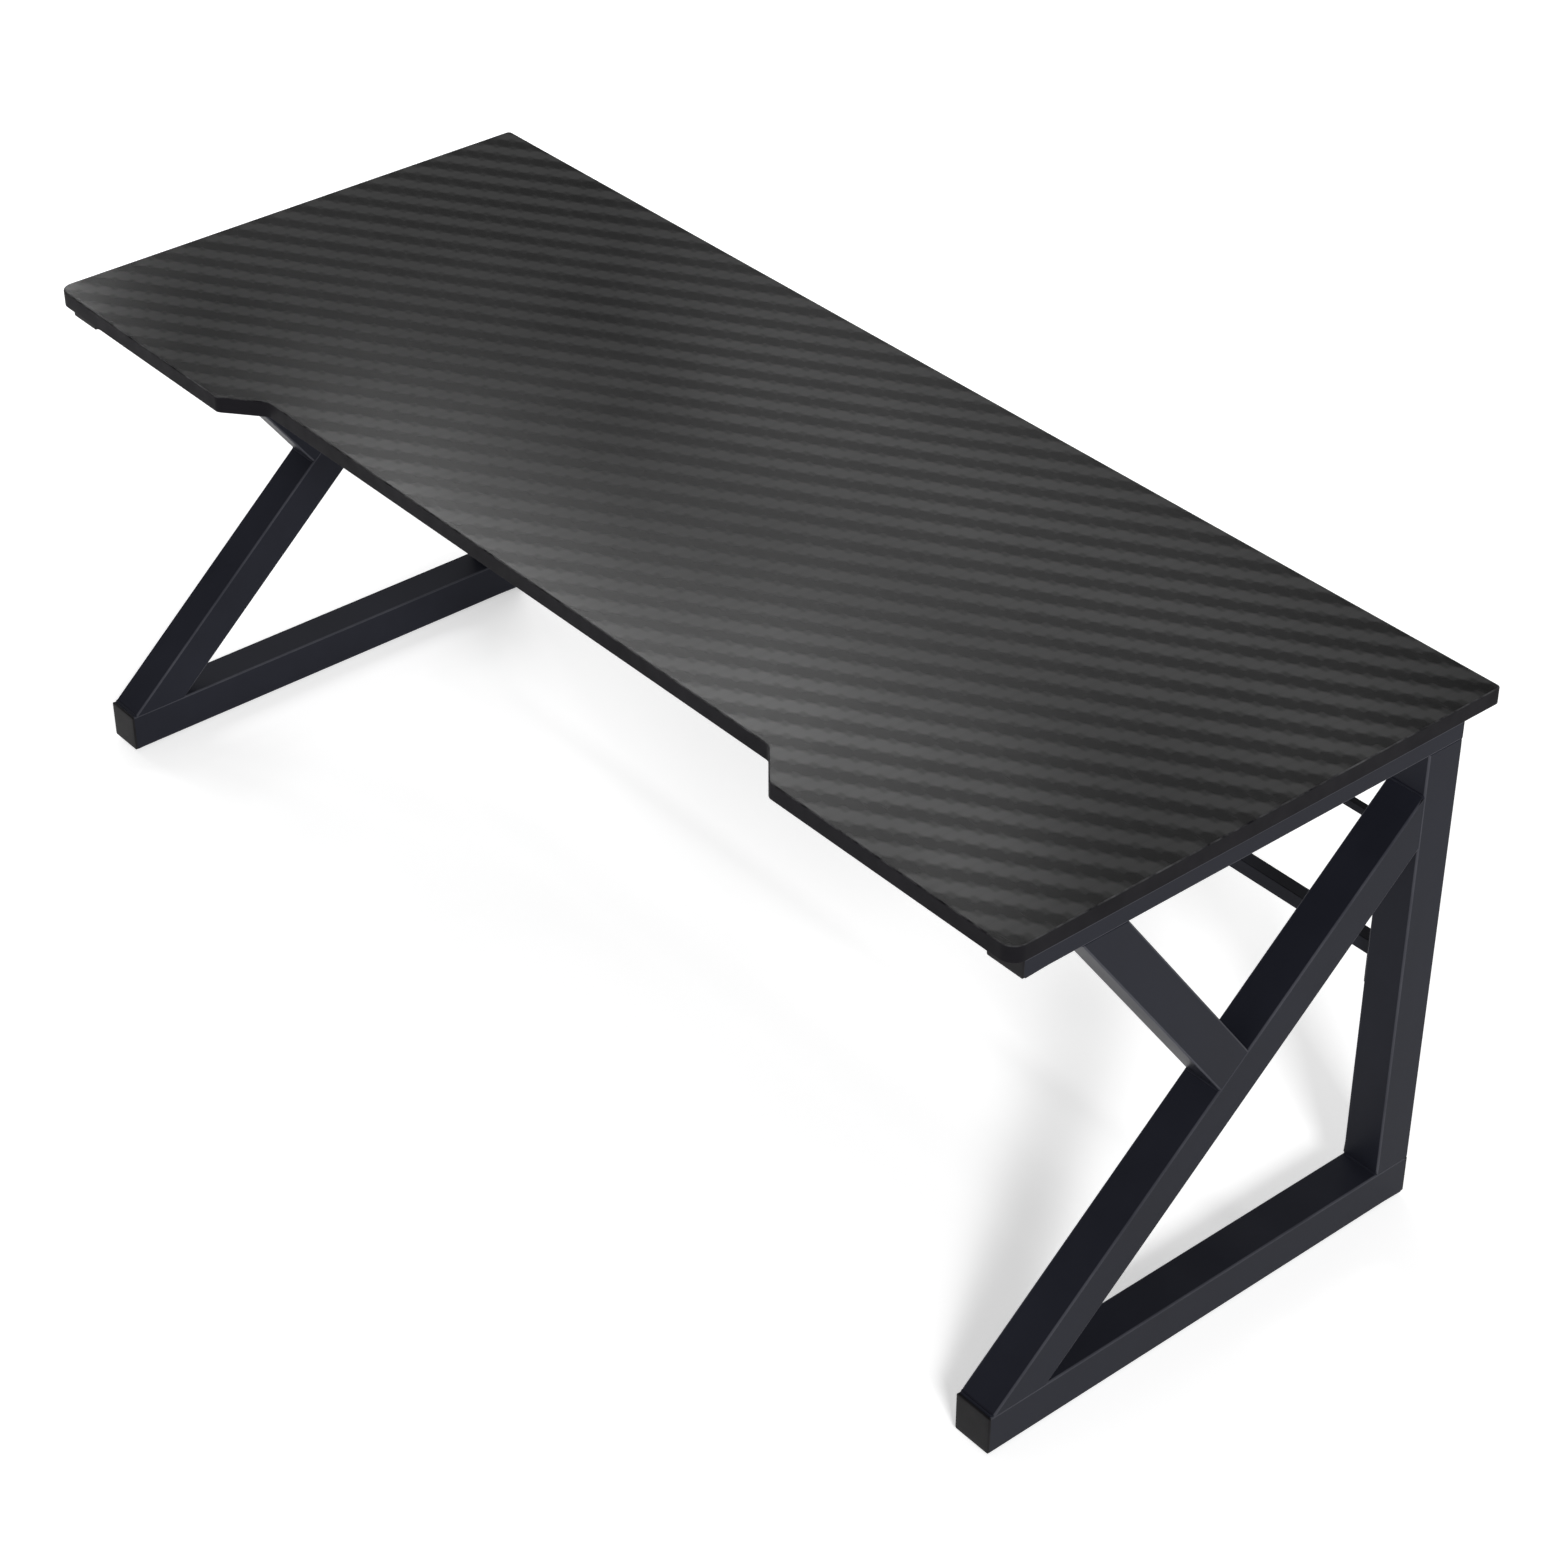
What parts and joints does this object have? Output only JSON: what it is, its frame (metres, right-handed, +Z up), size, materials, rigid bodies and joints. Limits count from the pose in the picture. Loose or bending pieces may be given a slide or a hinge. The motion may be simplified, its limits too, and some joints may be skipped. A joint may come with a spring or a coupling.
{
  "type": "desk",
  "caption": "Straight gaming desk: dark carbon-pattern top with a shallow front recess, on K-braced square-tube leg frames with levelling feet.",
  "frame": {"origin": "on the floor, under the middle of the desktop", "axes": "+X to the right along the desktop's length as seen by the sitter, +Y from the recessed front edge to the back, +Z up"},
  "size_m": [1.86, 0.745, 0.726],
  "materials": {
    "particleboard": "raw",
    "carbon_laminate": "satin",
    "backing_laminate": "matte",
    "edge_band": "satin",
    "powder_coat": "satin",
    "black_plastic": "matte",
    "black_zinc": "satin",
    "zinc_steel": "satin"
  },
  "bodies": {
    "desk": {"desktop_core": "particleboard", "top_laminate": "carbon_laminate", "underside_laminate": "backing_laminate", "edge_band": "edge_band", "left_rail": "powder_coat", "right_rail": "powder_coat", "left_post": "powder_coat", "right_post": "powder_coat", "left_base": "powder_coat", "right_base": "powder_coat", "left_long_brace": "powder_coat", "right_long_brace": "powder_coat", "left_short_brace": "powder_coat", "right_short_brace": "powder_coat", "lower_stretcher": "powder_coat", "left_lower_plate": "powder_coat", "right_lower_plate": "powder_coat", "upper_stretcher": "powder_coat", "left_upper_plate": "powder_coat", "right_upper_plate": "powder_coat", "front_beam": "powder_coat", "left_front_beam_plate": "powder_coat", "right_front_beam_plate": "powder_coat", "rear_beam": "powder_coat", "left_rear_beam_plate": "powder_coat", "right_rear_beam_plate": "powder_coat", "left_base_front_plug": "black_plastic", "left_base_rear_plug": "black_plastic", "right_base_front_plug": "black_plastic", "right_base_rear_plug": "black_plastic", "left_rail_front_plug": "black_plastic", "left_rail_rear_plug": "black_plastic", "right_rail_front_plug": "black_plastic", "right_rail_rear_plug": "black_plastic", "stretcher_bolts": "black_zinc", "stretcher_nuts": "zinc_steel", "beam_bolts": "black_zinc", "beam_nuts": "zinc_steel", "rail_screws": "black_zinc", "beam_screws": "black_zinc", "foot_nuts": "zinc_steel"},
    "left_front_foot": {"left_front_foot_pad": "black_plastic", "left_front_foot_stud": "zinc_steel"},
    "right_front_foot": {"right_front_foot_pad": "black_plastic", "right_front_foot_stud": "zinc_steel"},
    "left_rear_foot": {"left_rear_foot_pad": "black_plastic", "left_rear_foot_stud": "zinc_steel"},
    "right_rear_foot": {"right_rear_foot_pad": "black_plastic", "right_rear_foot_stud": "zinc_steel"}
  },
  "joints": [
    {"name": "left_front_foot_slide", "type": "slide", "parent": "desk", "child": "left_front_foot", "axis": [0, 0, -1], "range_m": [0, 0.01]},
    {"name": "right_front_foot_slide", "type": "slide", "parent": "desk", "child": "right_front_foot", "axis": [0, 0, -1], "range_m": [0, 0.01]},
    {"name": "left_rear_foot_slide", "type": "slide", "parent": "desk", "child": "left_rear_foot", "axis": [0, 0, -1], "range_m": [0, 0.01]},
    {"name": "right_rear_foot_slide", "type": "slide", "parent": "desk", "child": "right_rear_foot", "axis": [0, 0, -1], "range_m": [0, 0.01]}
  ]
}
